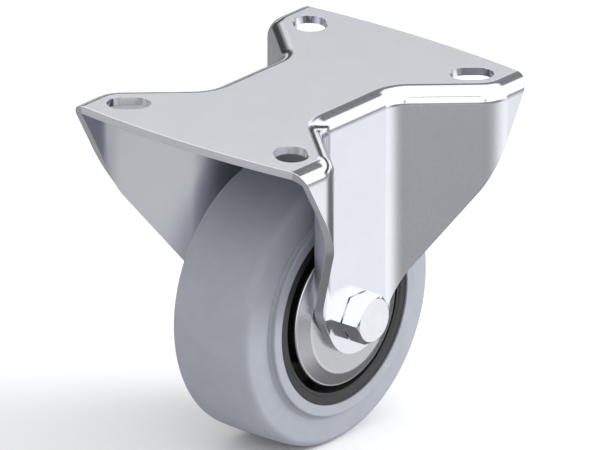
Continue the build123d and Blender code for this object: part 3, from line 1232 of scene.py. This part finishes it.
@dataclass(frozen=True)
class Panel:
    """A soft light or a dark flag in the studio's surroundings, by the direction it lies in, in degrees."""

    azimuth: float
    half_width: float
    elevation: float
    half_height: float
    brightness: float
    side_softness: float = 5.0
    edge_softness: float = 5.0

    def cover(self, nodes: Nodes, ray: Sequence[Socket], level: Socket, elevation: Socket) -> Socket:
        """Find how far the panel covers a direction.

        Args:
            nodes: The surroundings' nodes.
            ray: The three parts of the direction.
            level: The length of its level part.
            elevation: Its angle above the level, in degrees.

        Returns:
            1 on the panel, falling to 0 over its soft border.
        """
        turn = math.radians(self.azimuth)
        ahead = nodes.maths("MULTIPLY", ray[0], math.cos(turn))
        aside = nodes.maths("MULTIPLY", ray[1], math.sin(turn))
        length = nodes.maths("MAXIMUM", level, LEAST_LEVEL)
        cosine = nodes.maths("DIVIDE", nodes.maths("ADD", ahead, aside), length)
        off_azimuth = nodes.maths("DEGREES", nodes.maths("ARCCOSINE", cosine))
        off_elevation = nodes.maths("ABSOLUTE", nodes.maths("SUBTRACT", elevation, self.elevation))
        in_width: Value = 1.0
        if self.half_width < ALL_ROUND:
            in_width = self._within(nodes, off_azimuth, self.half_width, self.side_softness)
        in_height = self._within(nodes, off_elevation, self.half_height, self.edge_softness)
        return nodes.maths("MULTIPLY", in_width, in_height)

    @staticmethod
    def _within(nodes: Nodes, offset: Socket, half: float, softness: float) -> Socket:
        """1 within half of the panel's middle, falling to 0 over its soft border."""
        return nodes.spread(offset, half - softness / 2, half + softness / 2, 1.0, 0.0)


@dataclass(frozen=True)
class Lamp:
    """A square soft lamp that lights a point from a direction, bright in its middle and dark at its border.

    The point, the distance and the width are millimetres, and the power is watts. It shines in full up to
    full_share of its width from the middle. Polished surfaces show it only if it is mirrored.
    """

    name: str
    aim: Place
    toward: Place
    distance: float
    width: float
    power: float
    mirrored: bool
    full_share: float = 0.12
    border_share: float = 0.5

    def hang(self) -> None:
        """Add the lamp to the scene, where no camera sees it."""
        data = bpy.data.lights.new(self.name, "AREA")
        data.size = self.width * MM
        data.energy = self.power
        data.use_nodes = True
        nodes = Nodes(data.node_tree)
        spot = nodes.split(nodes.add("ShaderNodeNewGeometry").outputs["Parametric"])
        offsets = [nodes.maths("ABSOLUTE", nodes.maths("SUBTRACT", spot[axis], 0.5)) for axis in (0, 1)]
        fades = [nodes.spread(offset, self.full_share, self.border_share, 1.0, 0.0) for offset in offsets]
        shine = nodes.add("ShaderNodeEmission", {"Strength": nodes.maths("MULTIPLY", *fades)})
        nodes.add("ShaderNodeOutputLight", {"Surface": shine.outputs["Emission"]})
        lamp = bpy.data.objects.new(self.name, data)
        bpy.context.scene.collection.objects.link(lamp)
        away = Vector(self.toward).normalized()
        lamp.location = (Vector(self.aim) + away * self.distance) * MM
        lamp.rotation_euler = away.to_track_quat("Z", "Y").to_euler()
        lamp.visible_glossy = self.mirrored
        lamp.visible_camera = False


@dataclass(frozen=True)
class LongLensCamera:
    """The photograph's camera, from the front right and far away.

    Its angles are degrees. The aim is how far the picture's middle lies to the left of the plate's middle
    and below it, in millimetres, as the camera sees them.
    """

    azimuth: float = -50.1
    elevation: float = 22.2
    roll: float = 0.076
    pixels_a_millimetre: float = 3.52269
    lens: float = 1280.0
    sensor_width: float = 36.0
    frame_width: int = 600
    aim: Point = (0.10, 38.84)
    clip: Point = (1.0, 100.0)

    def set_up(self) -> None:
        """Add the camera to the scene and look through it."""
        turn, tilt = math.radians(self.azimuth), math.radians(self.elevation)
        back = Vector((math.sin(turn) * math.cos(tilt), -math.cos(turn) * math.cos(tilt), math.sin(tilt)))
        across = Vector((math.cos(turn), math.sin(turn), 0))
        up = back.cross(across)
        data = bpy.data.cameras.new("camera")
        data.sensor_width = self.sensor_width
        data.lens = self.lens
        data.clip_start, data.clip_end = self.clip
        camera = bpy.data.objects.new("camera", data)
        bpy.context.scene.collection.objects.link(camera)
        distance = self.lens * self.frame_width / (self.sensor_width * self.pixels_a_millimetre)
        place = (-across * self.aim[0] - up * self.aim[1] + back * distance) * MM
        axes = Matrix((across, up, back)).transposed().to_4x4()
        roll = Matrix.Rotation(math.radians(self.roll), 4, "Z")
        camera.matrix_world = Matrix.Translation(place) @ axes @ roll
        bpy.context.scene.camera = camera


@dataclass
class Studio:
    """Floor, surroundings, lamps and camera."""

    floor_radius: float = 4000.0
    floor_corners: int = 96
    floor_colour: Colour = (0.90, 0.90, 0.90)
    background: float = 1.0
    tint: Colour = (0.985, 0.99, 1.0)
    base: float = 1.45
    ambient: float = 0.78
    panels: tuple[Panel, ...] = (
        Panel(0, ALL_ROUND, -57, 41, 0.345, 5, 6),
        Panel(-70, 72, -74, 27, 0.17, 14, 8),
        Panel(-42, 44, -32, 13, 1.15, 60, 7),
        Panel(-1, 30, -49, 51, 0.18, 30, 7),
        Panel(20, 17, -49, 51, 0.16, 8, 7),
        Panel(-33.5, 7, 3, 15, 0.33, 3, 6),
        Panel(-42, 7, -7, 7, 0.34, 7, 9),
        Panel(-105, 43, -12.5, 6.5, 0.20, 40, 7),
        Panel(-130, 30, -19.0, 1.3, 0.80, 12, 1.6),
        Panel(8, 24, 4, 3.2, 0.98, 16, 4),
        Panel(60, 17, 25, 9, 0.58, 5, 6),
        Panel(68, 13, -8, 16, 0.30, 6, 4),
        Panel(47, 10, -7, 13, 0.20, 5, 6),
        Panel(46, 12, 4, 2.5, 0.60, 6, 4),
        Panel(20, 55, 15.2, 5.8, 0.04, 6, 3),
        Panel(66, 9, 12, 7, 0.04, 5, 4),
        Panel(6, 24, 42.4, 6.2, 0.16, 12, 8),
        Panel(34, 12, 40, 13, 0.22, 8, 9),
        Panel(44.5, 8.4, 23.2, 2.1, 0.93, 2, 1.4),
        Panel(135, 50, 14, 12, 0.85, 30, 10),
        Panel(138, 20, -24, 7, 0.50, 8, 4),
        Panel(-119, 4, 6, 8, 0.42, 3, 4),
        Panel(-136, 4.5, 35.2, 2.4, 0.03, 3, 1.6),
    )
    lamps: tuple[Lamp, ...] = (
        Lamp("key_light", (0.0, 0.0, -50.0), (1.0, -1.0, 0.55), 900.0, 700.0, 19.5, mirrored=False),
        Lamp("wall_fill", (-13.0, 23.0, -32.0), (-0.666, -0.643, -0.378), 170.0, 120.0, 0.0066, mirrored=True),
    )
    camera: LongLensCamera = LongLensCamera()

    def build(self) -> None:
        """Set up everything around the caster."""
        self._floor()
        self._surroundings()
        for lamp in self.lamps:
            lamp.hang()
        self.camera.set_up()
        bpy.context.scene.view_settings.view_transform = "Standard"

    def _floor(self) -> None:
        """Lay a wide pale floor that the tyre stands on."""
        low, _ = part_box("tyre")
        bpy.ops.mesh.primitive_circle_add(
            vertices=self.floor_corners, radius=self.floor_radius * MM, fill_type="NGON",
        )
        floor = bpy.context.object
        floor.name = "studio_floor"
        floor.location = (0, 0, low.z)
        floor.visible_glossy = False
        material = bpy.data.materials.new("floor_paper")
        material.use_nodes = True
        nodes = Nodes(material.node_tree)
        surface = nodes.add("ShaderNodeBsdfDiffuse", {"Color": (*self.floor_colour, 1)})
        nodes.add("ShaderNodeOutputMaterial", {"Surface": surface.outputs["BSDF"]})
        floor.data.materials.append(material)

    def _surroundings(self) -> None:
        """Put soft lights and dark flags all round, which the plated metal mirrors.

        The camera sees the plain background instead, and matt surfaces get the ambient share of the light.
        """
        world = bpy.data.worlds.new("studio")
        bpy.context.scene.world = world
        world.use_nodes = True
        nodes = Nodes(world.node_tree)
        ray = nodes.split(nodes.add("ShaderNodeTexCoord").outputs["Generated"])
        squares = [nodes.maths("POWER", ray[axis], 2.0) for axis in (0, 1)]
        level = nodes.maths("SQRT", nodes.maths("ADD", *squares))
        elevation = nodes.maths("DEGREES", nodes.maths("ARCTAN2", ray[2], level))
        light: Value = self.base
        for panel in self.panels:
            step = nodes.maths("SUBTRACT", panel.brightness, light)
            change = nodes.maths("MULTIPLY", panel.cover(nodes, ray, level, elevation), step)
            light = nodes.maths("ADD", light, change)
        path = nodes.add("ShaderNodeLightPath").outputs
        soft = nodes.maths("MULTIPLY", path["Is Diffuse Ray"], self.ambient - 1)
        light = nodes.maths("MULTIPLY", light, nodes.maths("ADD", soft, 1.0))
        backdrop = nodes.maths("SUBTRACT", self.background, light)
        strength = nodes.maths("ADD", light, nodes.maths("MULTIPLY", path["Is Camera Ray"], backdrop))
        shine = nodes.add("ShaderNodeBackground", {"Color": (*self.tint, 1.0), "Strength": strength})
        nodes.add("ShaderNodeOutputWorld", {"Surface": shine.outputs["Background"]})


def main() -> None:
    """Build the caster piece by piece, then the studio around it."""
    logging.basicConfig(level=logging.INFO, format="%(name)s: %(message)s")
    shop = PaintShop()
    InnerWorks(shop).dress()
    axle = Axle()
    Bracket(axle).build(shop)
    AxleBolt(axle).build(shop)
    LockNut(axle).build(shop)
    for side in Side:
        ThreadGuard(axle, side).build(shop)
    WheelCentre(axle).build(shop)
    Tyre(axle).build(shop)
    Studio().build()


if __name__ == "__main__":
    main()
